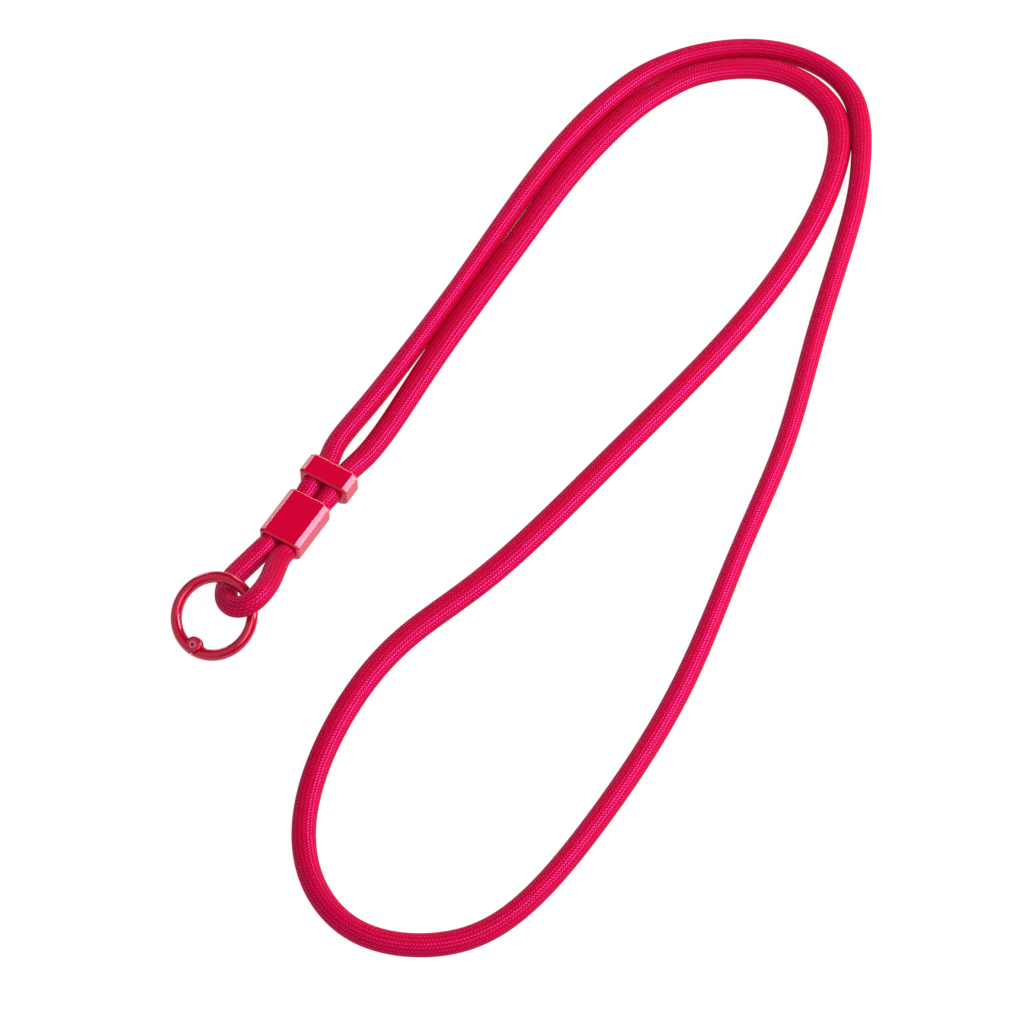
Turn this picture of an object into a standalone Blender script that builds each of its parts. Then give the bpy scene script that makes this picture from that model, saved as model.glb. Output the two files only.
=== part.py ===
"""A phone crossbody strap: one long braided rope, a clamp that holds its two
strands, a slider above it, and a spring-gate ring on the rope's lower bight.

Frame: metres, +Z up, +Y along the strands from the ring towards the slider.
The origin is the middle of the clamp's underside, on the surface it lies on.
"""
import math

import bmesh
import bpy
import numpy as np
from mathutils import Matrix

MM = 0.001

# Rope: its round-section diameter lying free, and squeezed in the two blocks
CORD_DIAMETER = 8.0 * MM
CORD_SIDES_RESOLUTION = 4
CORD_LONGEST_STEP = 31.0 * MM
CORD_LARGEST_TURN = math.radians(23.0)
END_GAP = 0.5 * MM

# Running and seating gap between pieces
SEAT_GAP = 0.3 * MM

# Clamp: the long block that holds both strands above the ring
CLAMP_LENGTH = 22.8 * MM
CLAMP_STRAND_DIAMETER = 7.2 * MM
CLAMP_STRAND_SPACING = 7.8 * MM
CLAMP_SIDE_WALL = 1.0 * MM
CLAMP_TOP_WALL = 0.9 * MM

# Slider: the short, wider block that runs along the strands above the clamp
SLIDER_LENGTH = 9.8 * MM
SLIDER_STRAND_DIAMETER = 7.8 * MM
SLIDER_STRAND_SPACING = 8.5 * MM
SLIDER_SIDE_WALL = 2.1 * MM
SLIDER_TOP_WALL = 0.8 * MM
SLIDER_TRAVEL = 7.3 * MM

# Both blocks have chamfered long edges
CHAMFER_WIDTH = 2.1 * MM
CHAMFER_DROP = 1.45 * MM

# Ring: a round wire with a hinged gate, leaning on the rope that it hangs on
RING_RADIUS = 14.75 * MM
RING_WIRE_DIAMETER = 4.3 * MM
RING_TILT = math.radians(26.0)
RING_CENTRE_X = -1.9 * MM
RING_CENTRE_Y = -52.1 * MM
RING_SEGMENTS = 56
RING_WIRE_SIDES = 14

# Hinge of the gate, by its place in the plane of the ring
PIN_ANGLE = math.radians(263.5)
PIN_INSET = 1.6 * MM
PIN_DIAMETER = 1.6 * MM
PIN_HEAD_DIAMETER = 2.8 * MM
PIN_HEAD_THICKNESS = 0.3 * MM
PIN_HEAD_GAP = 0.2 * MM
PIN_DIMPLE_DIAMETER = 1.3 * MM
PIN_DIMPLE_DEPTH = 0.5 * MM
KNUCKLE_RADIUS = 3.2 * MM
KNUCKLE_SINK = 0.1 * MM
KNUCKLE_CHAMFER = 0.9 * MM
TONGUE_THICKNESS = 1.4 * MM
TONGUE_WIDTH = 3.4 * MM
TONGUE_BITE = 2.7 * MM

# Nose of the gate: both ends are cut on arcs about the pin, so it swings free
NOSE_ANGLE = math.radians(336.5)
NOSE_STEP = 0.6 * MM
NOSE_STEP_OUT = 1.0 * MM

# Fineness of the arcs, of the smooth shading and of merging
ARC_STEPS = 24
SPLINE_STEPS = 16
SHARP_ANGLE = math.radians(35.0)
MERGE_DISTANCE = 0.000001

# Colours as seen: linear red, green and blue
CRIMSON_ROPE = (0.60, 0.003, 0.030, 1.0)
CRIMSON_PLASTIC = (0.66, 0.002, 0.035, 1.0)
CRIMSON_PAINT = (0.58, 0.004, 0.035, 1.0)

# Where the rope lies on the surface, from the slider round to the slider, by hand
FREE_LOOP_ROUTE = (
    # x, y and height of the middle of the rope, in millimetres
    (-6.4, 38.0, 4.3), (-6.3, 56.0, 4.0), (-5.6, 80.0, 4.0), (-5.9, 128.0, 4.0),
    (-7.8, 185.0, 4.0), (-5.9, 225.0, 4.0), (0.6, 255.0, 4.0), (7.0, 268.0, 4.0),
    (15.0, 278.8, 4.0), (32.8, 293.2, 4.0), (56.0, 300.0, 4.0), (79.6, 293.0, 4.0),
    (98.7, 265.9, 4.0), (109.7, 238.0, 4.0), (124.9, 182.0, 4.0), (140.1, 129.0, 4.0),
    (149.4, 78.0, 4.0), (160.7, 14.0, 4.0), (162.9, -50.0, 4.0), (156.1, -101.0, 4.0),
    (139.9, -123.8, 4.0), (112.0, -134.2, 4.0), (84.3, -121.9, 4.0), (66.1, -91.0, 4.0),
    (59.4, -50.0, 4.0), (62.8, -18.0, 4.0), (73.8, 18.1, 4.0), (86.1, 84.5, 4.0),
    (95.2, 145.0, 4.0), (99.3, 200.0, 4.0), (93.4, 252.0, 4.0), (78.5, 281.0, 4.0),
    (57.0, 289.8, 4.0), (37.2, 284.9, 4.0), (20.0, 270.2, 4.0), (13.3, 258.8, 4.0),
    (7.6, 243.8, 4.0), (2.0, 205.0, 4.0), (1.9, 160.0, 4.0), (3.4, 95.0, 4.0),
    (5.7, 60.0, 4.0), (5.6, 40.0, 4.3),
)

# The bight through the ring: over the wire on one side, back under it, by hand
RING_BIGHT_ROUTE = (
    # x, y and height of the middle of the rope, in millimetres
    (3.9, -15.6, 5.8), (4.8, -18.9, 7.7), (7.6, -25.8, 12.0), (10.4, -33.3, 16.4),
    (11.5, -41.2, 19.2), (10.1, -46.5, 19.1), (6.8, -48.4, 17.0), (2.2, -47.1, 13.5),
    (-2.3, -43.2, 9.5), (-5.2, -38.5, 7.1), (-6.3, -33.6, 5.9), (-5.9, -26.8, 5.0),
    (-4.9, -20.0, 4.8), (-4.2, -15.0, 4.8),
)

# Sizes that follow from the ones above
CLAMP_PASSAGE_WIDTH = CLAMP_STRAND_SPACING + CLAMP_STRAND_DIAMETER + 2 * SEAT_GAP
CLAMP_PASSAGE_HEIGHT = CLAMP_STRAND_DIAMETER + 2 * SEAT_GAP
CLAMP_WIDTH = CLAMP_PASSAGE_WIDTH + 2 * CLAMP_SIDE_WALL
CLAMP_HEIGHT = CLAMP_PASSAGE_HEIGHT + 2 * CLAMP_TOP_WALL
CLAMP_END = CLAMP_LENGTH / 2
SLIDER_PASSAGE_WIDTH = SLIDER_STRAND_SPACING + SLIDER_STRAND_DIAMETER + 2 * SEAT_GAP
SLIDER_PASSAGE_HEIGHT = SLIDER_STRAND_DIAMETER + 2 * SEAT_GAP
SLIDER_WIDTH = SLIDER_PASSAGE_WIDTH + 2 * SLIDER_SIDE_WALL
SLIDER_HEIGHT = SLIDER_PASSAGE_HEIGHT + 2 * SLIDER_TOP_WALL
SLIDER_START = CLAMP_END + SEAT_GAP + SLIDER_TRAVEL
SLIDER_END = SLIDER_START + SLIDER_LENGTH
WIRE_RADIUS = RING_WIRE_DIAMETER / 2
RING_CENTRE_Z = RING_RADIUS * math.sin(RING_TILT) + WIRE_RADIUS
PIN_HOLE_DIAMETER = PIN_DIAMETER + 2 * SEAT_GAP
KNUCKLE_THICKNESS = RING_WIRE_DIAMETER - 2 * KNUCKLE_SINK
SLOT_THICKNESS = TONGUE_THICKNESS + 2 * SEAT_GAP
SLOT_RADIUS = KNUCKLE_RADIUS + SEAT_GAP
TONGUE_RADIUS = KNUCKLE_RADIUS - SEAT_GAP
TONGUE_REACH = SLOT_RADIUS + TONGUE_BITE
CUTTER_REACH = 3 * RING_WIRE_DIAMETER


def on_ring(radius, angle):
    """A point in the plane of the ring, measured from the ring's middle."""
    return np.array((radius * math.cos(angle), radius * math.sin(angle)))


def from_pin(radius, angle):
    """Distance and direction of such a point, as seen from the pin."""
    way = on_ring(radius, angle) - PIN_PLACE
    return math.hypot(*way), math.atan2(way[1], way[0])


PIN_PLACE = on_ring(RING_RADIUS - PIN_INSET, PIN_ANGLE)
NOSE_RADIUS = from_pin(RING_RADIUS, NOSE_ANGLE)[0]
NOSE_STEP_WAY = from_pin(RING_RADIUS + NOSE_STEP_OUT, NOSE_ANGLE)[1]
TONGUE_WAY = from_pin(RING_RADIUS, PIN_ANGLE + TONGUE_REACH / RING_RADIUS)[1]


def clear_scene():
    for old in list(bpy.data.objects):
        bpy.data.objects.remove(old, do_unlink=True)


def new_collection(name):
    collection = bpy.data.collections.new(name)
    bpy.context.scene.collection.children.link(collection)
    return collection


def paint(name, colour, roughness, metallic):
    material = bpy.data.materials.new(name)
    material.use_nodes = True
    shader = material.node_tree.nodes["Principled BSDF"]
    shader.inputs["Base Color"].default_value = colour
    shader.inputs["Roughness"].default_value = roughness
    shader.inputs["Metallic"].default_value = metallic
    return material


def add_object(name, data, collection, material=None, parent=None):
    piece = bpy.data.objects.new(name, data)
    collection.objects.link(piece)
    piece.parent = parent
    if material:
        data.materials.append(material)
    return piece


def add_cutter(name, mesh, parent):
    cutter = add_object(name, mesh, CUTTERS, parent=parent)
    cutter.hide_render = True
    cutter.display_type = "WIRE"
    return cutter


def add_empty(name, location, rotation=(0.0, 0.0, 0.0), parent=None):
    empty = bpy.data.objects.new(name, None)
    empty.empty_display_size = RING_RADIUS / 2
    CUTTERS.objects.link(empty)
    empty.location = location
    empty.rotation_euler = rotation
    empty.parent = parent
    return empty


def smooth_sides(mesh):
    mesh.shade_smooth()
    mesh.set_sharp_from_angle(angle=SHARP_ANGLE)


def boolean(piece, cutter, operation):
    modifier = piece.modifiers.new(operation.title() + " " + cutter.name, "BOOLEAN")
    modifier.operation = operation
    modifier.object = cutter
    modifier.solver = "EXACT"


def smooth_curve(points):
    """Read a natural cubic spline through the points, many times between each two."""
    count = len(points)
    gaps = np.sqrt(np.linalg.norm(np.diff(points[:, :3], axis=0), axis=1))
    system = np.eye(count)
    right_side = np.zeros_like(points)
    for i in range(1, count - 1):
        system[i, i - 1] = gaps[i - 1] / 6
        system[i, i] = (gaps[i - 1] + gaps[i]) / 3
        system[i, i + 1] = gaps[i] / 6
        slope_after = (points[i + 1] - points[i]) / gaps[i]
        slope_before = (points[i] - points[i - 1]) / gaps[i - 1]
        right_side[i] = slope_after - slope_before
    bends = np.linalg.solve(system, right_side)
    spots = []
    for i in range(count - 1):
        square = gaps[i] ** 2 / 6
        for share in np.arange(SPLINE_STEPS) / SPLINE_STEPS:
            near = 1 - share
            straight = near * points[i] + share * points[i + 1]
            spot = straight + square * (near ** 3 - near) * bends[i]
            spot += square * (share ** 3 - share) * bends[i + 1]
            spot[3] = straight[3]
            spot[2] = max(spot[2], spot[3] / 2)
            spots.append(spot)
    spots.append(points[-1])
    return np.array(spots)


def pick_points(spots, kept):
    """Keep the given points, and spread others between them, closer in the bends."""
    ways = np.diff(spots[:, :3], axis=0)
    lengths = np.linalg.norm(ways, axis=1)
    ways /= lengths[:, None]
    turns = np.linalg.norm(np.diff(ways, axis=0, append=ways[-1:]), axis=1)
    efforts = np.maximum(lengths / CORD_LONGEST_STEP, turns / CORD_LARGEST_TURN)
    effort = np.concatenate(([0.0], np.cumsum(efforts)))
    picked = []
    for start, end in zip(kept, kept[1:]):
        steps = math.ceil(effort[end] - effort[start])
        for wanted in np.linspace(effort[start], effort[end], steps, endpoint=False):
            picked.append([np.interp(wanted, effort, spots[:, k]) for k in range(4)])
    picked.append(spots[-1])
    return picked


def strand_in_blocks(side):
    """The stretch of one strand inside the clamp and the slider, going up."""
    clamp_x = side * CLAMP_STRAND_SPACING / 2
    slider_x = side * SLIDER_STRAND_SPACING / 2
    return [
        (clamp_x, CLAMP_END, CLAMP_HEIGHT / 2, CLAMP_STRAND_DIAMETER),
        (slider_x, SLIDER_START, SLIDER_HEIGHT / 2, SLIDER_STRAND_DIAMETER),
        (slider_x, SLIDER_END, SLIDER_HEIGHT / 2, SLIDER_STRAND_DIAMETER),
    ]


def free_stretch(route):
    return [(x * MM, y * MM, z * MM, CORD_DIAMETER) for x, y, z in route]


def cord_points():
    """The whole rope, from its one end inside the clamp round to the other."""
    left_x = -CLAMP_STRAND_SPACING / 2
    right_x = CLAMP_STRAND_SPACING / 2
    middle_z = CLAMP_HEIGHT / 2
    first_end = (left_x, END_GAP / 2, middle_z, CLAMP_STRAND_DIAMETER)
    last_end = (left_x, -END_GAP / 2, middle_z, CLAMP_STRAND_DIAMETER)
    right_exit = (right_x, -CLAMP_END, middle_z, CLAMP_STRAND_DIAMETER)
    left_exit = (left_x, -CLAMP_END, middle_z, CLAMP_STRAND_DIAMETER)
    up_left = [first_end] + strand_in_blocks(-1)
    down_right = strand_in_blocks(1)[::-1] + [right_exit]
    stretches = (
        (up_left, True), (free_stretch(FREE_LOOP_ROUTE), False),
        (down_right, True), (free_stretch(RING_BIGHT_ROUTE), False),
        ([left_exit, last_end], True),
    )
    route = []
    kept = []
    for stretch, in_blocks in stretches:
        if in_blocks:
            kept += range(len(route), len(route) + len(stretch))
        route += stretch
    spots = smooth_curve(np.array(route))
    return pick_points(spots, [i * SPLINE_STEPS for i in kept])


def make_cord():
    curve = bpy.data.curves.new("strap_cord", "CURVE")
    curve.dimensions = "3D"
    curve.bevel_depth = CORD_DIAMETER / 2
    curve.bevel_resolution = CORD_SIDES_RESOLUTION
    curve.use_fill_caps = True
    curve.render_resolution_u = 0
    spots = cord_points()
    spline = curve.splines.new("POLY")
    spline.points.add(len(spots) - 1)
    for point, spot in zip(spline.points, spots):
        point.co = (spot[0], spot[1], spot[2], 1.0)
        point.radius = spot[3] / CORD_DIAMETER
    spline.use_smooth = True
    return add_object("strap_cord", curve, PARTS, paint("rope_braid", CRIMSON_ROPE, 0.62, 0.0))


def arc(centre_x, centre_y, radius, start, end, steps):
    turns = [start + (end - start) * i / steps for i in range(steps + 1)]
    return [(centre_x + radius * math.cos(t), centre_y + radius * math.sin(t)) for t in turns]


def chamfered_outline(width, height):
    """Outline of a block, seen along the strands, standing on height zero."""
    side = width / 2
    flat = side - CHAMFER_WIDTH
    return [
        (-flat, 0.0), (flat, 0.0),
        (side, CHAMFER_DROP), (side, height - CHAMFER_DROP),
        (flat, height), (-flat, height),
        (-side, height - CHAMFER_DROP), (-side, CHAMFER_DROP),
    ]


def passage_outline(width, height, middle):
    """A long hole with round ends, which holds the two strands side by side."""
    radius = height / 2
    reach = width / 2 - radius
    right = arc(reach, middle, radius, -math.pi / 2, math.pi / 2, ARC_STEPS // 2)
    left = arc(-reach, middle, radius, math.pi / 2, 3 * math.pi / 2, ARC_STEPS // 2)
    return right + left


def plate(name, outlines, thickness):
    """A flat filled outline, with holes, as a curve of the given thickness."""
    curve = bpy.data.curves.new(name, "CURVE")
    curve.dimensions = "2D"
    curve.fill_mode = "BOTH"
    curve.extrude = thickness / 2
    curve.render_resolution_u = 0
    for outline in outlines:
        spline = curve.splines.new("POLY")
        spline.points.add(len(outline) - 1)
        spline.use_cyclic_u = True
        for point, (x, y) in zip(spline.points, outline):
            point.co = (x, y, 0.0, 1.0)
    return curve


def make_block(name, width, height, ends, passage, material):
    outer = chamfered_outline(width, height)
    inner = passage_outline(*passage, height / 2)
    block = add_object(name, plate(name, [outer, inner], ends[1] - ends[0]), PARTS, material)
    block.location = (0.0, (ends[0] + ends[1]) / 2, 0.0)
    block.rotation_euler = (math.pi / 2, 0.0, 0.0)
    return block


def make_clamp():
    material = paint("clamp_plastic", CRIMSON_PLASTIC, 0.16, 0.0)
    make_block("clamp_block", CLAMP_WIDTH, CLAMP_HEIGHT, (-CLAMP_END, CLAMP_END),
               (CLAMP_PASSAGE_WIDTH, CLAMP_PASSAGE_HEIGHT), material)


def make_slider():
    material = paint("slider_plastic", CRIMSON_PLASTIC, 0.16, 0.0)
    make_block("slider_block", SLIDER_WIDTH, SLIDER_HEIGHT, (SLIDER_START, SLIDER_END),
               (SLIDER_PASSAGE_WIDTH, SLIDER_PASSAGE_HEIGHT), material)


def torus_mesh(name):
    bpy.ops.mesh.primitive_torus_add(
        major_radius=RING_RADIUS, minor_radius=WIRE_RADIUS,
        major_segments=RING_SEGMENTS, minor_segments=RING_WIRE_SIDES)
    maker = bpy.context.object
    mesh = maker.data
    mesh.name = name
    bpy.data.objects.remove(maker, do_unlink=True)
    return mesh


def disc_mesh(name, radius, thickness, chamfer=0.0):
    """A round disc about the local Z axis, with chamfered rims where wanted."""
    bm = bmesh.new()
    bmesh.ops.create_cone(bm, cap_ends=True, segments=2 * ARC_STEPS, radius1=radius,
                          radius2=radius, depth=thickness)
    if chamfer:
        rims = [edge for edge in bm.edges if edge.verts[0].co.z * edge.verts[1].co.z > 0]
        bmesh.ops.bevel(bm, geom=rims, offset=chamfer, segments=1, profile=0.5, affect="EDGES")
    mesh = bpy.data.meshes.new(name)
    bm.to_mesh(mesh)
    bm.free()
    return mesh


def gate_zone_mesh(name, growth):
    """Everything on the gate's side of the pin, out to the arcs of its nose."""
    near = NOSE_RADIUS - NOSE_STEP + growth
    far = NOSE_RADIUS + growth
    outline = arc(0.0, 0.0, near, PIN_ANGLE - 2 * math.pi, NOSE_STEP_WAY, ARC_STEPS)
    outline += arc(0.0, 0.0, far, NOSE_STEP_WAY, PIN_ANGLE - math.pi, ARC_STEPS)
    curve = plate(name, [outline], CUTTER_REACH)
    maker = add_object(name + "_outline", curve, CUTTERS)
    graph = bpy.context.evaluated_depsgraph_get()
    mesh = bpy.data.meshes.new_from_object(maker.evaluated_get(graph))
    bpy.data.objects.remove(maker, do_unlink=True)
    bm = bmesh.new()
    bm.from_mesh(mesh)
    bmesh.ops.remove_doubles(bm, verts=bm.verts, dist=MERGE_DISTANCE)
    bm.to_mesh(mesh)
    bm.free()
    mesh.name = name
    return mesh


def tongue_link_mesh():
    """The flat bar that joins the gate's wire to its eye on the pin."""
    bm = bmesh.new()
    bmesh.ops.create_cube(bm, size=1.0)
    bmesh.ops.scale(bm, vec=(TONGUE_REACH, TONGUE_WIDTH, TONGUE_THICKNESS), verts=bm.verts)
    bmesh.ops.translate(bm, vec=(TONGUE_REACH / 2, 0.0, 0.0), verts=bm.verts)
    mesh = bpy.data.meshes.new("gate_tongue_link")
    bm.to_mesh(mesh)
    bm.free()
    return mesh


def make_ring_body(ring_plane, hinge):
    material = paint("ring_paint", CRIMSON_PAINT, 0.28, 0.35)
    body = add_object("ring_body", torus_mesh("ring_body"), PARTS, material, ring_plane)
    zone = add_cutter("ring_gap_cutter", gate_zone_mesh("ring_gap_cutter", SEAT_GAP), hinge)
    knuckle_mesh = disc_mesh("knuckle", KNUCKLE_RADIUS, KNUCKLE_THICKNESS, KNUCKLE_CHAMFER)
    knuckle = add_cutter("knuckle", knuckle_mesh, hinge)
    slot = add_cutter("slot_cutter", disc_mesh("slot_cutter", SLOT_RADIUS, SLOT_THICKNESS), hinge)
    hole_mesh = disc_mesh("body_hole_cutter", PIN_HOLE_DIAMETER / 2, CUTTER_REACH)
    hole = add_cutter("body_hole_cutter", hole_mesh, hinge)
    boolean(body, zone, "DIFFERENCE")
    boolean(body, knuckle, "UNION")
    boolean(body, slot, "DIFFERENCE")
    boolean(body, hole, "DIFFERENCE")
    smooth_sides(body.data)


def make_gate(ring_plane, hinge):
    material = paint("gate_paint", CRIMSON_PAINT, 0.28, 0.35)
    gate = add_object("ring_gate", torus_mesh("ring_gate"), PARTS, material, hinge)
    gate.data.transform(Matrix.Translation((-PIN_PLACE[0], -PIN_PLACE[1], 0.0)))
    zone = add_cutter("gate_zone", gate_zone_mesh("gate_zone", 0.0), hinge)
    around_mesh = disc_mesh("knuckle_clearance", SLOT_RADIUS, CUTTER_REACH)
    around = add_cutter("knuckle_clearance", around_mesh, hinge)
    eye = add_cutter("gate_eye", disc_mesh("gate_eye", TONGUE_RADIUS, TONGUE_THICKNESS), hinge)
    link = add_cutter("gate_tongue_link", tongue_link_mesh(), hinge)
    link.rotation_euler = (0.0, 0.0, TONGUE_WAY)
    hole_mesh = disc_mesh("gate_hole_cutter", PIN_HOLE_DIAMETER / 2, CUTTER_REACH)
    hole = add_cutter("gate_hole_cutter", hole_mesh, hinge)
    boolean(gate, zone, "INTERSECT")
    boolean(gate, around, "DIFFERENCE")
    boolean(gate, eye, "UNION")
    boolean(gate, link, "UNION")
    boolean(gate, hole, "DIFFERENCE")
    smooth_sides(gate.data)


def make_pin(hinge):
    """A turned rivet: a flat tail below and a dimpled head above the cheek."""
    seat = KNUCKLE_THICKNESS / 2 + PIN_HEAD_GAP
    top = seat + PIN_HEAD_THICKNESS
    profile = [
        (0.0, top - PIN_DIMPLE_DEPTH),
        (PIN_DIMPLE_DIAMETER / 2, top - PIN_DIMPLE_DEPTH),
        (PIN_DIMPLE_DIAMETER / 2, top),
        (PIN_HEAD_DIAMETER / 2, top),
        (PIN_HEAD_DIAMETER / 2, seat),
        (PIN_DIAMETER / 2, seat),
        (PIN_DIAMETER / 2, -KNUCKLE_THICKNESS / 2),
        (0.0, -KNUCKLE_THICKNESS / 2),
    ]
    bm = bmesh.new()
    corners = [bm.verts.new((radius, 0.0, height)) for radius, height in profile]
    for first, second in zip(corners, corners[1:]):
        bm.edges.new((first, second))
    mesh = bpy.data.meshes.new("gate_pin")
    bm.to_mesh(mesh)
    bm.free()
    pin = add_object("gate_pin", mesh, PARTS, paint("pin_paint", CRIMSON_PAINT, 0.32, 0.5), hinge)
    turning = pin.modifiers.new("Turn", "SCREW")
    turning.steps = ARC_STEPS
    turning.render_steps = ARC_STEPS
    turning.use_merge_vertices = True
    turning.merge_threshold = MERGE_DISTANCE
    turning.use_smooth_shade = False


def make_ring():
    centre = (RING_CENTRE_X, RING_CENTRE_Y, RING_CENTRE_Z)
    ring_plane = add_empty("ring_plane", centre, (RING_TILT, 0.0, 0.0))
    hinge = add_empty("gate_hinge", (*PIN_PLACE, 0.0), parent=ring_plane)
    bpy.context.view_layer.update()
    make_ring_body(ring_plane, hinge)
    make_gate(ring_plane, hinge)
    make_pin(hinge)


clear_scene()
PARTS = new_collection("phone_crossbody_strap")
CUTTERS = new_collection("cutters")
make_cord()
make_clamp()
make_slider()
make_ring()
bpy.context.view_layer.update()
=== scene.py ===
"""Looks of the phone crossbody strap: a braided rope, two glossy blocks and a ring.
"""

import math

import bmesh
import bpy
import numpy as np
from mathutils import Matrix, Vector


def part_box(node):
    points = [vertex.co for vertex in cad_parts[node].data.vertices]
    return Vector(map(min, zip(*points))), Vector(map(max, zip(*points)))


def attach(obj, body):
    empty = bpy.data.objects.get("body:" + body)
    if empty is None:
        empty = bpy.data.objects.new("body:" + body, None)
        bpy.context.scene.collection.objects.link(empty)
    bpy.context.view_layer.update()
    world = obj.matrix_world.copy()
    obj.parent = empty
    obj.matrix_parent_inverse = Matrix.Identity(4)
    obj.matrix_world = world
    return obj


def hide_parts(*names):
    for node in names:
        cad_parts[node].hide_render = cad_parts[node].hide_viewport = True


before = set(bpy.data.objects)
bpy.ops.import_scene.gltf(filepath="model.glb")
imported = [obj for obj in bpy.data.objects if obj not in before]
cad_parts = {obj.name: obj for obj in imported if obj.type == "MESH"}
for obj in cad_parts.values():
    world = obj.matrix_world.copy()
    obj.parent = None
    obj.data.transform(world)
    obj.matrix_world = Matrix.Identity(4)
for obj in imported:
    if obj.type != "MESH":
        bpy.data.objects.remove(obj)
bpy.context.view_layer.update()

# The camera stands 1.6 m away, 56 degrees above the table and 31 degrees to the
# right of the two strands. It looks at the middle of the loop that the rope lies in.
CAMERA_PLACE = Vector((0.52675, -0.71142, 1.32958))
LOOP_MIDDLE = Vector((0.06567, 0.04992, 0.0))
CAMERA_LENS = 147.96
CAMERA_SENSOR = 36.0

camera_data = bpy.data.cameras.new("camera")
camera_data.lens = CAMERA_LENS
camera_data.sensor_width = CAMERA_SENSOR
camera = bpy.data.objects.new("camera", camera_data)
bpy.context.scene.collection.objects.link(camera)
camera.location = CAMERA_PLACE
camera.rotation_euler = (LOOP_MIDDLE - CAMERA_PLACE).to_track_quat("-Z", "Y").to_euler()
bpy.context.scene.camera = camera

# The rope is a soft round braid of crimson polyester yarns, 8 mm thick. It lies
# flattened or on edge, is squeezed in the two blocks and turns back in the ring.
# Its two ends meet inside the left passage of the clamp.
CLAMP_LOW, CLAMP_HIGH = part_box("clamp_block")
SLIDER_LOW, SLIDER_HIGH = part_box("slider_block")
ROPE_DIAMETER = 0.008
ROPE_END_GAP = 0.0005
STRAND_SPACING_IN_CLAMP = 0.0078
STRAND_SPACING_IN_SLIDER = 0.0085
# width and height of a strand
STRAND_IN_CLAMP = (0.0077, 0.0074)
STRAND_BELOW_CLAMP = (0.0084, 0.0078)
STRAND_IN_SLIDER = (0.0084, 0.0080)
STRAND_IN_BIGHT = (0.0087, 0.0074)
ROPE_RING_STEP = 0.0009
ROPE_SIDES = 48
SPLINE_STEPS = 40
SEAM_MERGE_DISTANCE = 0.00001

FREE_LOOP_ROUTE = (
    # x, y and height of the middle of the rope
    (-0.0064, 0.0380, 0.0043), (-0.0063, 0.0560, 0.0040), (-0.0056, 0.0800, 0.0040),
    (-0.0059, 0.1280, 0.0040), (-0.0078, 0.1850, 0.0040), (-0.0059, 0.2250, 0.0040),
    (0.0006, 0.2550, 0.0040), (0.0070, 0.2680, 0.0040), (0.0150, 0.2788, 0.0040),
    (0.0328, 0.2932, 0.0040), (0.0560, 0.3000, 0.0040), (0.0796, 0.2930, 0.0040),
    (0.0987, 0.2659, 0.0040), (0.1097, 0.2380, 0.0040), (0.1249, 0.1820, 0.0040),
    (0.1401, 0.1290, 0.0040), (0.1494, 0.0780, 0.0040), (0.1607, 0.0140, 0.0040),
    (0.1629, -0.0500, 0.0040), (0.1561, -0.1010, 0.0040), (0.1399, -0.1238, 0.0040),
    (0.1120, -0.1342, 0.0040), (0.0843, -0.1219, 0.0040), (0.0661, -0.0910, 0.0040),
    (0.0594, -0.0500, 0.0040), (0.0628, -0.0180, 0.0040), (0.0738, 0.0181, 0.0040),
    (0.0861, 0.0845, 0.0040), (0.0952, 0.1450, 0.0040), (0.0993, 0.2000, 0.0040),
    (0.0934, 0.2520, 0.0040), (0.0785, 0.2810, 0.0040), (0.0570, 0.2898, 0.0040),
    (0.0372, 0.2849, 0.0040), (0.0200, 0.2702, 0.0040), (0.0133, 0.2588, 0.0040),
    (0.0076, 0.2438, 0.0040), (0.0020, 0.2050, 0.0040), (0.0019, 0.1600, 0.0040),
    (0.0034, 0.0950, 0.0040), (0.0057, 0.0600, 0.0040), (0.0056, 0.0400, 0.0043),
)

RING_BIGHT_ROUTE = (
    # x, y and height of the middle of the rope
    (0.0039, -0.0156, 0.0058), (0.0048, -0.0189, 0.0077), (0.0076, -0.0258, 0.0120),
    (0.0104, -0.0333, 0.0164), (0.0115, -0.0412, 0.0192), (0.0101, -0.0465, 0.0191),
    (0.0068, -0.0484, 0.0170), (0.0022, -0.0471, 0.0135), (-0.0023, -0.0432, 0.0095),
    (-0.0052, -0.0385, 0.0071), (-0.0063, -0.0336, 0.0059), (-0.0059, -0.0268, 0.0050),
    (-0.0049, -0.0200, 0.0048), (-0.0042, -0.0150, 0.0048),
)

ROPE_LIE = (
    # number of the point on the free loop, then the width and height of the rope there
    (0, 0.0082, 0.0082), (2, 0.0081, 0.0083), (3, 0.0072, 0.0091), (4, 0.0083, 0.0084),
    (5, 0.0091, 0.0078), (6, 0.0090, 0.0078), (7, 0.0086, 0.0082), (9, 0.0081, 0.0086),
    (10, 0.0081, 0.0084), (11, 0.0089, 0.0080), (12, 0.0082, 0.0085), (16, 0.0075, 0.0089),
    (17, 0.0084, 0.0081), (19, 0.0084, 0.0081), (20, 0.0090, 0.0074), (21, 0.0086, 0.0079),
    (23, 0.0091, 0.0073), (25, 0.0096, 0.0067), (26, 0.0098, 0.0065), (28, 0.0092, 0.0072),
    (30, 0.0090, 0.0074), (31, 0.0101, 0.0064), (32, 0.0100, 0.0063), (34, 0.0098, 0.0067),
    (36, 0.0105, 0.0062), (37, 0.0104, 0.0062), (39, 0.0096, 0.0067), (40, 0.0091, 0.0073),
    (41, 0.0089, 0.0075),
)


def lying_loop():
    """The free loop, each point with the width and height of the rope that lies there."""
    numbers, widths, heights = np.array(ROPE_LIE).T
    rows = []
    for number, (x, y, height_of_middle) in enumerate(FREE_LOOP_ROUTE):
        width = np.interp(number, numbers, widths)
        height = np.interp(number, numbers, heights)
        lift = height_of_middle - ROPE_DIAMETER / 2
        rows.append((x, y, lift + height / 2, width, height))
    return rows


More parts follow.
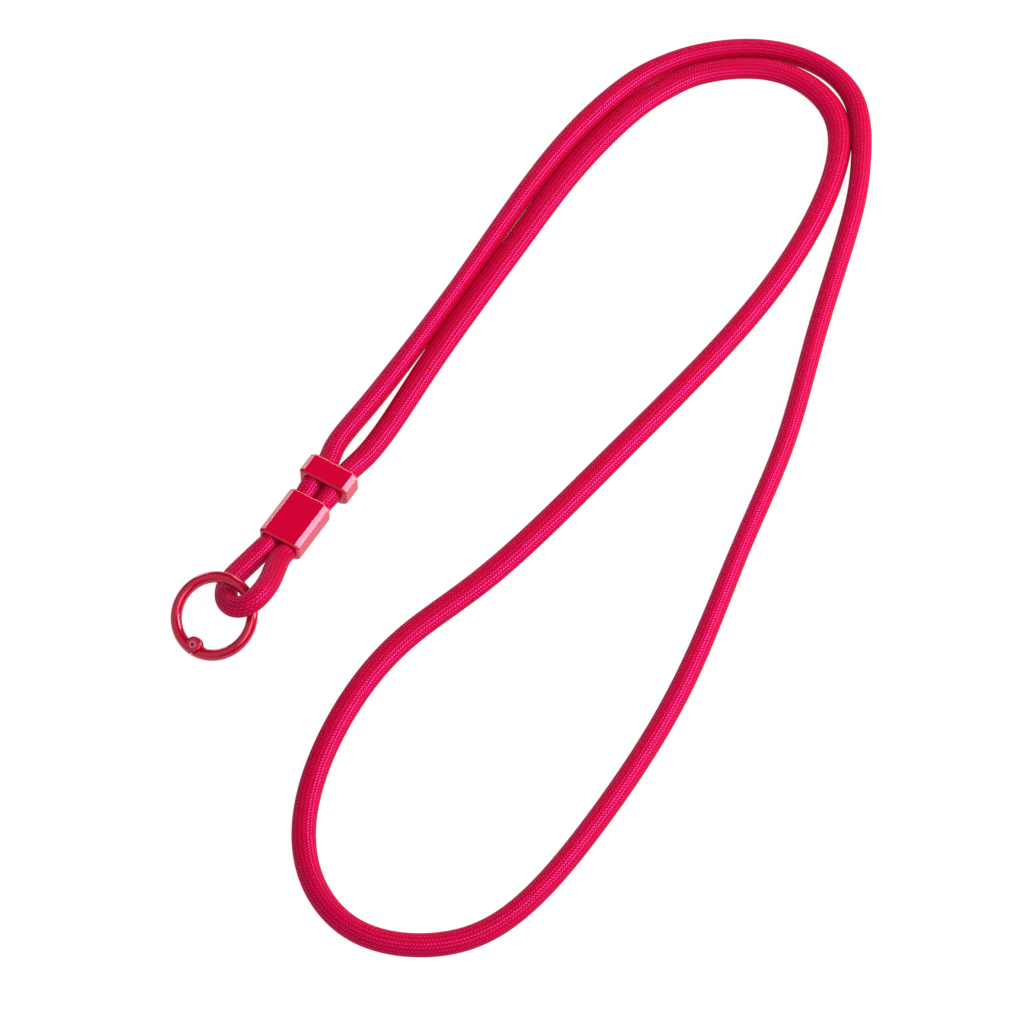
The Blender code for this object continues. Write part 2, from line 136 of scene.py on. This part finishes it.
def strand_through_blocks(side):
    """One strand from the top of the clamp to the top of the slider."""
    clamp_x = side * STRAND_SPACING_IN_CLAMP / 2
    slider_x = side * STRAND_SPACING_IN_SLIDER / 2
    clamp_z = (CLAMP_LOW.z + CLAMP_HIGH.z) / 2
    slider_z = (SLIDER_LOW.z + SLIDER_HIGH.z) / 2
    return [
        (clamp_x, CLAMP_HIGH.y, clamp_z, *STRAND_IN_CLAMP),
        (slider_x, SLIDER_LOW.y, slider_z, *STRAND_IN_SLIDER),
        (slider_x, SLIDER_HIGH.y, slider_z, *STRAND_IN_SLIDER),
    ]


def whole_rope():
    """Every chosen point of the rope, from one end in the clamp round to the other."""
    left_x = -STRAND_SPACING_IN_CLAMP / 2
    clamp_z = (CLAMP_LOW.z + CLAMP_HIGH.z) / 2
    rows = [(left_x, ROPE_END_GAP / 2, clamp_z, *STRAND_IN_CLAMP)]
    rows += strand_through_blocks(-1) + lying_loop() + strand_through_blocks(1)[::-1]
    rows.append((-left_x, CLAMP_LOW.y, clamp_z, *STRAND_IN_CLAMP))
    for place, point in enumerate(RING_BIGHT_ROUTE):
        last = place in (0, len(RING_BIGHT_ROUTE) - 1)
        rows.append((*point, *(STRAND_BELOW_CLAMP if last else STRAND_IN_BIGHT)))
    rows.append((left_x, CLAMP_LOW.y, clamp_z, *STRAND_IN_CLAMP))
    rows.append((left_x, -ROPE_END_GAP / 2, clamp_z, *STRAND_IN_CLAMP))
    return np.array(rows)


def smooth_rope(points):
    """A natural cubic spline through the chosen points, read at even steps of length."""
    count, columns = points.shape
    # the square root of the distance keeps the spline from swinging out in the bends
    gaps = np.sqrt(np.linalg.norm(np.diff(points[:, :3], axis=0), axis=1))
    system = np.eye(count)
    right_side = np.zeros_like(points)
    for i in range(1, count - 1):
        system[i, i - 1:i + 2] = (gaps[i - 1] / 6, (gaps[i - 1] + gaps[i]) / 3, gaps[i] / 6)
        slope_after = (points[i + 1] - points[i]) / gaps[i]
        slope_before = (points[i] - points[i - 1]) / gaps[i - 1]
        right_side[i] = slope_after - slope_before
    bends = np.linalg.solve(system, right_side)
    spots = []
    for i in range(count - 1):
        square = gaps[i] ** 2 / 6
        for share in np.arange(SPLINE_STEPS) / SPLINE_STEPS:
            near = 1 - share
            straight = near * points[i] + share * points[i + 1]
            spot = straight + square * (near ** 3 - near) * bends[i]
            spot += square * (share ** 3 - share) * bends[i + 1]
            spot[3:] = straight[3:]
            spots.append(spot)
    spots = np.array(spots + [points[-1]])
    steps = np.linalg.norm(np.diff(spots[:, :3], axis=0), axis=1)
    along = np.concatenate(([0.0], np.cumsum(steps)))
    rings = round(along[-1] / ROPE_RING_STEP)
    even = np.linspace(0.0, along[-1], rings + 1)
    return even, np.column_stack([np.interp(even, along, spots[:, k]) for k in range(columns)])


def braided_tube(name, along, spots):
    """A grid rolled into a tube of oval rings, with lengths and turns as its UV map."""
    ways = np.gradient(spots[:, :3], axis=0)
    ways /= np.linalg.norm(ways, axis=1)[:, None]
    across = np.cross((0.0, 0.0, 1.0), ways)
    across /= np.linalg.norm(across, axis=1)[:, None]
    upward = np.cross(ways, across)
    bm = bmesh.new()
    weave = bm.loops.layers.uv.new("braid")
    bmesh.ops.create_grid(bm, x_segments=len(spots) - 1, y_segments=ROPE_SIDES, size=0.5)
    for vert in bm.verts:
        ring = round((vert.co.x + 0.5) * (len(spots) - 1))
        turn = 0.5 - vert.co.y
        angle = 2 * math.pi * turn
        sideways = math.cos(angle) * spots[ring, 3] / 2 * across[ring]
        up = math.sin(angle) * spots[ring, 4] / 2 * upward[ring]
        for loop in vert.link_loops:
            loop[weave].uv = (along[ring], turn)
        vert.co = spots[ring, :3] + sideways + up
    bmesh.ops.remove_doubles(bm, verts=bm.verts, dist=SEAM_MERGE_DISTANCE)
    rims = [edge for edge in bm.edges if edge.is_boundary]
    bmesh.ops.holes_fill(bm, edges=rims)
    bmesh.ops.recalc_face_normals(bm, faces=bm.faces)
    mesh = bpy.data.meshes.new(name)
    bm.to_mesh(mesh)
    bm.free()
    mesh.shade_smooth()
    return mesh


class Finish:
    """A value on its way into a material. Arithmetic on it adds Math nodes."""

    def __init__(self, tree, socket=None):
        self.tree = tree
        self.socket = socket

    def node(self, kind, settings=(), output=0, **values):
        """A new node. Its settings are made first, then its sockets, by name or number."""
        made = self.tree.nodes.new("ShaderNode" + kind)
        for name, setting in dict(settings).items():
            setattr(made, name, setting)
        for name, value in values.items():
            name = int(name[2:]) if name.startswith("at") else name.replace("_", " ")
            if isinstance(value, Finish):
                self.tree.links.new(value.socket, made.inputs[name])
            else:
                made.inputs[name].default_value = value
        return Finish(self.tree, made.outputs[output])

    def math(self, operation, *values):
        sockets = {f"at{i}": value for i, value in enumerate(values)}
        return self.node("Math", {"operation": operation}, **sockets)

    def __add__(self, other):
        return self.math("ADD", self, other)

    def __sub__(self, other):
        return self.math("SUBTRACT", self, other)

    def __rsub__(self, other):
        return self.math("SUBTRACT", other, self)

    def __mul__(self, other):
        return self.math("MULTIPLY", self, other)

    def __pow__(self, other):
        return self.math("POWER", self, other)

    __radd__ = __add__
    __rmul__ = __mul__

    def blend(self, low, high):
        """A colour that goes from low to high as this value goes from 0 to 1."""
        return self.node("Mix", {"data_type": "RGBA"}, 2, at0=self, at6=low, at7=high)


def new_finish(name, **uniform):
    """A material, its shader with the values that are the same all over, and a start."""
    material = bpy.data.materials.new(name)
    material.use_nodes = True
    shader = material.node_tree.nodes["Principled BSDF"]
    for socket, value in uniform.items():
        shader.inputs[socket.replace("_", " ")].default_value = value
    return material, shader, Finish(material.node_tree)


def braid_finish():
    """Yarns of satin crimson polyester, laid in columns that lean left and right."""
    stitch_length = 0.00127
    columns = 18
    slant = 0.75
    # painted shade: the seams between the yarns are coloured darker than the yarns
    seam_painted_shade = (0.38, 0.0, 0.014, 1.0)
    yarn_red = (0.46, 0.0, 0.024, 1.0)
    # painted highlight: a paler pink for the crowns of the yarns
    crown_painted_highlight = (0.54, 0.002, 0.055, 1.0)
    satin_pink = (1.0, 0.09, 0.72, 1.0)
    satin_share = 0.15
    seam_roughness, crown_smoothing = 0.62, 0.14
    fibre_scale, fibre_height = 9000.0, 0.12
    glint_patch_scale = 60.0
    stitch_depth = 0.00028
    material, shader, start = new_finish(
        "braided_rope", Specular_IOR_Level=0.05, Specular_Tint=(1.0, 0.22, 1.0, 1.0))
    place = start.node("UVMap", {"uv_map": "braid"})
    along = start.node("SeparateXYZ", Vector=place) * (1 / stitch_length)
    around = start.node("SeparateXYZ", (), 1, Vector=place) * columns
    column = start.math("FLOOR", around)
    side = around - column
    odd = start.math("MODULO", column, 2.0)
    lean = 1 - 2 * odd
    stitch = start.math("FRACT", along + lean * (side - 0.5) * slant + 0.5 * odd)
    crown = start.math("SINE", stitch * math.pi) * start.math("SINE", side * math.pi)
    relief = crown ** 0.5
    fibres = start.node("TexNoise", {"noise_dimensions": "2D"}, Vector=place,
                        Scale=fibre_scale, Detail=2.0)
    glint_patches = start.node("TexNoise", {"noise_dimensions": "3D"}, Scale=glint_patch_scale, Detail=3.0,
                      Vector=start.node("TexCoord", (), "Object"))
    tone = start.math("SMOOTH_MIN", relief * 1.25, 1.0, 0.2)
    # painted shade: the seams between the yarns take the darker colour, the yarn crowns the
    # plain one
    colour = tone.blend(seam_painted_shade, yarn_red)
    # painted highlight: the yarn crowns are coloured paler, more strongly in some random patches
    # than others
    colour = (crown ** 3 * (0.25 + 0.5 * glint_patches)).blend(colour, crown_painted_highlight)
    links = material.node_tree.links
    links.new(colour.socket, shader.inputs["Base Color"])
    roughness = seam_roughness - crown_smoothing * relief
    links.new(roughness.socket, shader.inputs["Roughness"])
    height = relief + fibre_height * fibres
    bump = start.node("Bump", Strength=0.65, Distance=stitch_depth, Height=height)
    links.new(bump.socket, shader.inputs["Normal"])
    satin = start.node("BsdfPrincipled", Base_Color=satin_pink, Metallic=1.0, Roughness=0.36,
                       Specular_Tint=satin_pink, Normal=bump)
    yarns = Finish(material.node_tree, shader.outputs["BSDF"])
    cloth = start.node("MixShader", at0=satin_share * crown ** 1.5, at1=yarns, at2=satin)
    links.new(cloth.socket, material.node_tree.nodes["Material Output"].inputs["Surface"])
    return material


rope_lengths, rope_spots = smooth_rope(whole_rope())
rope_mesh = braided_tube("braided_rope", rope_lengths, rope_spots)
rope = bpy.data.objects.new("braided_rope", rope_mesh)
bpy.context.scene.collection.objects.link(rope)
rope.data.materials.append(braid_finish())
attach(rope, "strap")
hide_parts("strap_cord")

# The clamp is the long block above the ring, moulded in glossy crimson plastic. Its
# long edges are chamfered, its ends are rolled over, and one long hole with round
# ends holds both strands. It is pressed onto them and doesn't move.
CHAMFER_WIDTH = 0.0021
CHAMFER_DROP = 0.00145
ROLL_SEGMENTS = 8
EDGE_SOFTNESS = 0.00015
EDGE_SEGMENTS = 3
CREASE_ANGLE = math.radians(25.0)
SHADING_CREASE_ANGLE = math.radians(32.0)
MOUTH_SOFTNESS = 0.0001
HOLE_SEGMENTS = 64
TOLERANCE = 0.00001
END_FACE_LIMIT = 0.99
ROUNDING = {"profile": 0.5, "affect": "EDGES", "material": -1}
CLAMP_HOLE = (0.0156, 0.0078)
CLAMP_ROLL = Vector((0.00095, 0.0014, 0.00075))


def carve(name, mesh, *steps):
    """The mesh after its Boolean steps, each an operation and the mesh it works with."""
    collection = bpy.context.scene.collection
    piece = bpy.data.objects.new(name, mesh)
    collection.objects.link(piece)
    helpers = [piece]
    for operation, tool_mesh in steps:
        tool = bpy.data.objects.new(name + "_tool", tool_mesh)
        collection.objects.link(tool)
        helpers.append(tool)
        modifier = piece.modifiers.new(operation, "BOOLEAN")
        modifier.operation = operation
        modifier.solver = "EXACT"
        modifier.object = tool
    graph = bpy.context.evaluated_depsgraph_get()
    carved = bpy.data.meshes.new_from_object(piece.evaluated_get(graph))
    for helper in helpers:
        bpy.data.objects.remove(helper)
    carved.name = name
    return carved


def mesh_of(bm, name):
    """The finished bmesh as a mesh."""
    mesh = bpy.data.meshes.new(name)
    bm.to_mesh(mesh)
    bm.free()
    return mesh


def show(name, mesh, finish, body, node):
    """Put a finished piece in the scene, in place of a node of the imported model."""
    piece = bpy.data.objects.new(name, mesh)
    bpy.context.scene.collection.objects.link(piece)
    mesh.materials.append(finish)
    mesh.shade_smooth()
    mesh.set_sharp_from_angle(angle=SHADING_CREASE_ANGLE)
    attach(piece, body)
    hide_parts(node)
    return piece


def hole_mesh(hole, length):
    """A long prism with round ends, which stands across the middle of a block."""
    width, height = hole
    bm = bmesh.new()
    bmesh.ops.create_cone(bm, cap_ends=True, segments=HOLE_SEGMENTS, radius1=height / 2,
                          radius2=height / 2, depth=length)
    bmesh.ops.rotate(bm, matrix=Matrix.Rotation(math.pi / 2, 3, "X"), verts=bm.verts)
    for side in (-1, 1):
        half = [vert for vert in bm.verts if side * vert.co.x > TOLERANCE]
        bmesh.ops.translate(bm, vec=(side * (width - height) / 2, 0.0, 0.0), verts=half)
    return mesh_of(bm, "hole")


def hollow_block(name, low, high, hole, roll):
    """A block with chamfered long edges and rolled ends, and a hole for two strands."""
    width, length, height = high - low
    stretch = CHAMFER_WIDTH / CHAMFER_DROP
    squeeze = Vector((roll.z / roll.x, roll.z / roll.y, 1.0))
    widen = Vector((roll.x / roll.z, roll.y / roll.z, 1.0))
    bm = bmesh.new()
    bmesh.ops.create_cube(bm, size=1.0)
    bmesh.ops.scale(bm, vec=(width, length, height * stretch), verts=bm.verts)
    long_edges = [edge for edge in bm.edges if edge.verts[0].co.y * edge.verts[1].co.y < 0]
    bmesh.ops.bevel(bm, geom=long_edges, offset=CHAMFER_WIDTH, segments=1, **ROUNDING)
    bmesh.ops.scale(bm, vec=(squeeze.x, squeeze.y, 1 / stretch), verts=bm.verts)
    rims = [edge for edge in bm.edges if edge.verts[0].co.y * edge.verts[1].co.y > 0]
    bmesh.ops.bevel(bm, geom=rims, offset=roll.z, segments=ROLL_SEGMENTS, **ROUNDING)
    bmesh.ops.scale(bm, vec=widen, verts=bm.verts)
    creases = [edge for edge in bm.edges if edge.calc_face_angle() > CREASE_ANGLE]
    bmesh.ops.bevel(bm, geom=creases, offset=EDGE_SOFTNESS, segments=EDGE_SEGMENTS, **ROUNDING)
    hollowed = carve(name, mesh_of(bm, name), ("DIFFERENCE", hole_mesh(hole, 2 * length)))
    reach = hole[1] / 2 + TOLERANCE
    bm = bmesh.new()
    bm.from_mesh(hollowed)
    mouth = []
    for edge in bm.edges:
        ends = [face for face in edge.link_faces if abs(face.normal.y) > END_FACE_LIMIT]
        if len(ends) == 1 and max(abs(vert.co.z) for vert in edge.verts) < reach:
            mouth.append(edge)
    bmesh.ops.bevel(bm, geom=mouth, offset=MOUTH_SOFTNESS, segments=EDGE_SEGMENTS, **ROUNDING)
    bmesh.ops.translate(bm, vec=(low + high) / 2, verts=bm.verts)
    bm.to_mesh(hollowed)
    bm.free()
    return hollowed


def plastic_finish(name):
    """Glossy moulded crimson plastic, with a very faint flow in its surface."""
    flow_scale = 180.0
    flow_depth = 0.00002
    gloss_roughness, flow_roughness = 0.14, 0.04
    material, shader, start = new_finish(
        name, Base_Color=(0.48, 0.0, 0.026, 1.0), IOR=1.45, Specular_IOR_Level=0.5,
        Specular_Tint=(0.9, 0.80, 1.0, 1.0))
    place = start.node("TexCoord", (), "Object")
    flow = start.node("TexNoise", {"noise_dimensions": "3D"}, Vector=place,
                      Scale=flow_scale, Detail=2.0)
    links = material.node_tree.links
    roughness = gloss_roughness + flow_roughness * flow
    links.new(roughness.socket, shader.inputs["Roughness"])
    bump = start.node("Bump", Strength=0.05, Distance=flow_depth, Height=flow)
    links.new(bump.socket, shader.inputs["Normal"])
    return material


clamp = show("clamp", hollow_block("clamp", CLAMP_LOW, CLAMP_HIGH, CLAMP_HOLE, CLAMP_ROLL),
             plastic_finish("clamp_plastic"), "strap", "clamp_block")
clamp.modifiers.new("Flat faces", "WEIGHTED_NORMAL").keep_sharp = True

# The slider is the shorter and wider block above the clamp, moulded in the same
# plastic. It runs along both strands by hand and stays where it is put.
SLIDER_HOLE = (0.0169, 0.0084)
SLIDER_ROLL = Vector((0.0015, 0.0014, 0.0007))
slider_mesh = hollow_block("slider", SLIDER_LOW, SLIDER_HIGH, SLIDER_HOLE, SLIDER_ROLL)
slider = show("slider", slider_mesh, plastic_finish("slider_plastic"), "slider",
              "slider_block")
slider.modifiers.new("Flat faces", "WEIGHTED_NORMAL").keep_sharp = True

# The ring's body is a C of round metal wire, dipped in crimson lacquer. Its one end
# is a forked knuckle for the gate, the other a stepped seat for the gate's nose. It
# leans on the bight of the rope, with its near edge on the table.
RING_RADIUS = 0.01475
WIRE_DIAMETER = 0.0043
RING_TILT = math.radians(26.0)
RING_MIDDLE = Vector((-0.0019, -0.0521, 0.008616))
RING_STEPS = 144
WIRE_SIDES = 40
PIN_ANGLE = math.radians(263.5)
PIN_INSET = 0.0016
PIN_DIAMETER = 0.0016
PIN_HOLE_DIAMETER = 0.0022
KNUCKLE_RADIUS = 0.0032
KNUCKLE_THICKNESS = 0.0041
KNUCKLE_ROUNDING = 0.0009
SLOT_THICKNESS = 0.0020
SLOT_RADIUS = 0.0035
NOSE_ANGLE = math.radians(336.5)
NOSE_STEP = 0.0006
NOSE_STEP_OUT = 0.0010
SEAT_GAP = 0.0003
DISC_SEGMENTS = 64
KNUCKLE_SEGMENTS = 6
WEDGE_DEPTH = 4 * WIRE_DIAMETER
AXIS_MERGE_DISTANCE = 0.000001
RING_AXIS = (0.0, 0.0, 1.0)
RING_ORIGIN = (0.0, 0.0, 0.0)
LACQUER_RED = (0.46, 0.0, 0.030, 1.0)


def on_ring(radius, angle):
    """A point in the plane of the ring, so far from the middle in the given direction."""
    return Vector((radius * math.cos(angle), radius * math.sin(angle), 0.0))


PIN_PLACE = on_ring(RING_RADIUS - PIN_INSET, PIN_ANGLE)
NOSE_RADIUS = (on_ring(RING_RADIUS, NOSE_ANGLE) - PIN_PLACE).length
NOSE_STEP_PLACE = on_ring(RING_RADIUS + NOSE_STEP_OUT, NOSE_ANGLE) - PIN_PLACE
NOSE_STEP_WAY = math.atan2(NOSE_STEP_PLACE.y, NOSE_STEP_PLACE.x)


def ring_wire():
    """The whole round wire, as it is seen from the pin in the plane of the ring."""
    bm = bmesh.new()
    bmesh.ops.create_circle(bm, segments=WIRE_SIDES, radius=WIRE_DIAMETER / 2)
    bmesh.ops.rotate(bm, matrix=Matrix.Rotation(math.pi / 2, 3, "X"), verts=bm.verts)
    bmesh.ops.translate(bm, vec=(RING_RADIUS, 0.0, 0.0), verts=bm.verts)
    bmesh.ops.spin(bm, geom=bm.verts[:] + bm.edges[:], axis=RING_AXIS, cent=RING_ORIGIN,
                   angle=2 * math.pi, steps=RING_STEPS, use_merge=True)
    bmesh.ops.recalc_face_normals(bm, faces=bm.faces)
    bmesh.ops.translate(bm, vec=-PIN_PLACE, verts=bm.verts)
    return mesh_of(bm, "wire")


def disc(radius, thickness, rounding=0.0):
    """A disc about the pin, with round rims where wanted."""
    bm = bmesh.new()
    bmesh.ops.create_cone(bm, cap_ends=True, segments=DISC_SEGMENTS, radius1=radius,
                          radius2=radius, depth=thickness)
    if rounding:
        rims = [edge for edge in bm.edges if edge.verts[0].co.z * edge.verts[1].co.z > 0]
        bmesh.ops.bevel(bm, geom=rims, offset=rounding, segments=KNUCKLE_SEGMENTS, **ROUNDING)
    return mesh_of(bm, "disc")


def wedge(radius, start, end):
    """A thick sector about the pin, from one direction round to another."""
    bm = bmesh.new()
    bottom = Vector((0.0, 0.0, -WEDGE_DEPTH / 2))
    inner = bm.verts.new(bottom)
    outer = bm.verts.new(bottom + on_ring(radius, start))
    bm.edges.new((inner, outer))
    bmesh.ops.spin(bm, geom=bm.verts[:] + bm.edges[:], axis=RING_AXIS, cent=RING_ORIGIN,
                   angle=end - start, steps=DISC_SEGMENTS)
    bmesh.ops.remove_doubles(bm, verts=bm.verts, dist=AXIS_MERGE_DISTANCE)
    raised = bmesh.ops.extrude_face_region(bm, geom=bm.faces[:], use_keep_orig=True)["geom"]
    top = [item for item in raised if isinstance(item, bmesh.types.BMVert)]
    bmesh.ops.translate(bm, vec=(0.0, 0.0, WEDGE_DEPTH), verts=top)
    bmesh.ops.recalc_face_normals(bm, faces=bm.faces)
    return mesh_of(bm, "wedge")


def gate_zone(growth):
    """All that lies on the gate's side of the pin, out to the two arcs of its nose."""
    start, end = PIN_ANGLE - 2 * math.pi, PIN_ANGLE - math.pi
    near = wedge(NOSE_RADIUS - NOSE_STEP + growth, start, end)
    far = wedge(NOSE_RADIUS + growth, NOSE_STEP_WAY, end)
    return carve("gate_zone", near, ("UNION", far))


def hung(mesh):
    """Bring a mesh from the plane of the ring, seen from the pin, to its place."""
    place = Matrix.Translation(RING_MIDDLE) @ Matrix.Rotation(RING_TILT, 4, "X")
    mesh.transform(place @ Matrix.Translation(PIN_PLACE))
    return mesh


def lacquer_finish(name, colour):
    """Crimson lacquer over bright metal, a little uneven as dipped lacquer is."""
    wave_scale = 420.0
    wave_depth = 0.00004
    gloss_roughness, wave_roughness = 0.22, 0.1
    material, shader, start = new_finish(
        name, Base_Color=colour, Metallic=0.3, IOR=1.45, Specular_IOR_Level=0.3,
        Specular_Tint=(1.0, 0.45, 0.80, 1.0), Coat_Weight=0.5, Coat_IOR=1.6, Coat_Roughness=0.12)
    place = start.node("TexCoord", (), "Object")
    waves = start.node("TexNoise", {"noise_dimensions": "3D"}, Vector=place,
                       Scale=wave_scale, Detail=1.0)
    links = material.node_tree.links
    roughness = gloss_roughness + wave_roughness * waves
    links.new(roughness.socket, shader.inputs["Roughness"])
    bump = start.node("Bump", Strength=0.25, Distance=wave_depth, Height=waves)
    links.new(bump.socket, shader.inputs["Normal"])
    return material


pin_hole = disc(PIN_HOLE_DIAMETER / 2, 2 * WIRE_DIAMETER)
ring_body_mesh = carve(
    "ring_body", ring_wire(), ("DIFFERENCE", gate_zone(SEAT_GAP)),
    ("UNION", disc(KNUCKLE_RADIUS, KNUCKLE_THICKNESS, KNUCKLE_ROUNDING)),
    ("DIFFERENCE", disc(SLOT_RADIUS, SLOT_THICKNESS)), ("DIFFERENCE", pin_hole))
show("ring_body", hung(ring_body_mesh), lacquer_finish("body_lacquer", LACQUER_RED), "strap",
     "ring_body")

# The ring's gate is the near right part of the wire. Its flat tongue turns on the
# rivet in the body's fork, and a spring in the knuckle holds its nose in the seat.
TONGUE_THICKNESS = 0.0014
TONGUE_WIDTH = 0.0034
TONGUE_BITE = 0.0027
TONGUE_REACH = SLOT_RADIUS + TONGUE_BITE


def tongue_bar():
    """The flat bar that joins the gate's wire to its eye on the pin."""
    far_end = on_ring(RING_RADIUS, PIN_ANGLE + TONGUE_REACH / RING_RADIUS) - PIN_PLACE
    bm = bmesh.new()
    bmesh.ops.create_cube(bm, size=1.0)
    bmesh.ops.scale(bm, vec=(TONGUE_REACH, TONGUE_WIDTH, TONGUE_THICKNESS), verts=bm.verts)
    bmesh.ops.translate(bm, vec=(TONGUE_REACH / 2, 0.0, 0.0), verts=bm.verts)
    turn = Matrix.Rotation(math.atan2(far_end.y, far_end.x), 3, "Z")
    bmesh.ops.rotate(bm, matrix=turn, verts=bm.verts)
    return mesh_of(bm, "tongue")


ring_gate_mesh = carve(
    "ring_gate", ring_wire(), ("INTERSECT", gate_zone(0.0)),
    ("DIFFERENCE", disc(SLOT_RADIUS, 2 * WIRE_DIAMETER)),
    ("UNION", disc(KNUCKLE_RADIUS - SEAT_GAP, TONGUE_THICKNESS)), ("UNION", tongue_bar()),
    ("DIFFERENCE", pin_hole))
show("ring_gate", hung(ring_gate_mesh), lacquer_finish("gate_lacquer", LACQUER_RED), "gate",
     "ring_gate")

# The pin is a small rivet of the same metal, turned and lacquered with the ring. Its
# head is coloured paler, its round dimple is coloured near-black as painted shade, and its
# plain tail ends level with the knuckle below.
PIN_HEAD_DIAMETER = 0.0028
PIN_HEAD_THICKNESS = 0.0003
PIN_HEAD_GAP = 0.0002
PIN_DIMPLE_DIAMETER = 0.0015
PIN_DIMPLE_DEPTH = 0.0005
PIN_RIM_ROUNDING = 0.00014
PIN_RIM_ANGLE = 1.0
PALE_LACQUER = (0.70, 0.09, 0.20, 1.0)
# painted shade for the hollow of the dimple
DIMPLE_PAINTED_SHADE = (0.16, 0.0, 0.008, 1.0)


def turned_pin():
    """The rivet's half outline, from its dimple round to its tail, spun about its axis."""
    seat = KNUCKLE_THICKNESS / 2 + PIN_HEAD_GAP
    top = seat + PIN_HEAD_THICKNESS
    outline = (
        (0.0, top - PIN_DIMPLE_DEPTH), (PIN_DIMPLE_DIAMETER / 2, top - PIN_DIMPLE_DEPTH),
        (PIN_DIMPLE_DIAMETER / 2, top), (PIN_HEAD_DIAMETER / 2, top),
        (PIN_HEAD_DIAMETER / 2, seat), (PIN_DIAMETER / 2, seat),
        (PIN_DIAMETER / 2, -KNUCKLE_THICKNESS / 2), (0.0, -KNUCKLE_THICKNESS / 2),
    )
    bm = bmesh.new()
    corners = [bm.verts.new((radius, 0.0, height)) for radius, height in outline]
    for first, second in zip(corners, corners[1:]):
        bm.edges.new((first, second))
    bmesh.ops.spin(bm, geom=bm.verts[:] + bm.edges[:], axis=RING_AXIS, cent=RING_ORIGIN,
                   angle=2 * math.pi, steps=DISC_SEGMENTS, use_merge=True)
    bmesh.ops.remove_doubles(bm, verts=bm.verts, dist=AXIS_MERGE_DISTANCE)
    bmesh.ops.recalc_face_normals(bm, faces=bm.faces)
    rims = [edge for edge in bm.edges if edge.calc_face_angle(0.0) > PIN_RIM_ANGLE]
    bmesh.ops.bevel(bm, geom=rims, offset=PIN_RIM_ROUNDING, segments=EDGE_SEGMENTS, **ROUNDING)
    # the dimple's faces take the second material, a near-black lacquer that is painted shade
    for face in bm.faces:
        middle = face.calc_center_median()
        in_dimple = middle.z > 0 and middle.xy.length < PIN_DIMPLE_DIAMETER / 2
        face.material_index = 1 if in_dimple else 0
    return mesh_of(bm, "pin")


pin = show("gate_pin", hung(turned_pin()), lacquer_finish("pin_lacquer", PALE_LACQUER), "strap",
           "gate_pin")
# painted shade: the dimple gets a near-black lacquer of its own
pin.data.materials.append(lacquer_finish("painted_dimple_shade", DIMPLE_PAINTED_SHADE))

# The table is plain and glows by itself, so it is seen as white. The lamps are a box
# on the right, one behind the camera, a large one on the left and two small weak ones
# beyond the rope, in a faint even glow.
TABLE_SIZE = 6.0
TABLE_DROP = 0.0002
TABLE_GREY = (0.12, 0.12, 0.12, 1.0)
TABLE_GLOW = 0.93
EVEN_GLOW = 0.03
WHITE = (1.0, 1.0, 1.0, 1.0)
CAMERA_TURN = math.radians(31.2)
# seen by the camera: to the right, and away from it over the table
RIGHT = Vector((math.cos(CAMERA_TURN), math.sin(CAMERA_TURN), 0.0))
AWAY = Vector((-RIGHT.y, RIGHT.x, 0.0))
UP = Vector((0.0, 0.0, 1.0))


def soft_box(name, way, distance, size, power):
    """A square lamp that hangs in the given direction and faces the middle of the loop."""
    data = bpy.data.lights.new(name, "AREA")
    data.shape = "SQUARE"
    data.size = size
    data.energy = power
    lamp = bpy.data.objects.new(name, data)
    bpy.context.scene.collection.objects.link(lamp)
    lamp.location = LOOP_MIDDLE + distance * way.normalized()
    lamp.rotation_euler = (LOOP_MIDDLE - lamp.location).to_track_quat("-Z", "Y").to_euler()


bm = bmesh.new()
bmesh.ops.create_grid(bm, x_segments=1, y_segments=1, size=TABLE_SIZE / 2)
bmesh.ops.translate(bm, vec=(0.0, 0.0, -TABLE_DROP), verts=bm.verts)
table = bpy.data.objects.new("table", mesh_of(bm, "table"))
bpy.context.scene.collection.objects.link(table)
table_finish = new_finish("pale_table", Base_Color=TABLE_GREY, Roughness=0.9,
                          Specular_IOR_Level=0.1, Emission_Color=WHITE,
                          Emission_Strength=TABLE_GLOW)[0]
table.data.materials.append(table_finish)
soft_box("right_box", 0.76 * RIGHT + 0.06 * AWAY + 0.64 * UP,
         distance=1.5, size=0.8, power=32.0)
soft_box("camera_box", 0.25 * RIGHT - 0.75 * AWAY + 1.1 * UP,
         distance=2.0, size=1.2, power=18.0)
soft_box("left_box", -0.85 * RIGHT - 0.35 * AWAY + 0.60 * UP,
         distance=2.5, size=4.0, power=36.0)
soft_box("left_strip", -0.50 * RIGHT + 0.86 * AWAY + 0.06 * UP,
         distance=1.5, size=0.4, power=5.0)
soft_box("back_strip", 0.20 * RIGHT + 0.89 * AWAY + 0.40 * UP,
         distance=1.5, size=0.35, power=4.0)
bpy.context.scene.world = bpy.data.worlds.new("studio")
bpy.context.scene.world.use_nodes = True
glow = bpy.context.scene.world.node_tree.nodes["Background"]
glow.inputs["Color"].default_value = WHITE
glow.inputs["Strength"].default_value = EVEN_GLOW
bpy.context.scene.view_settings.view_transform = "Standard"
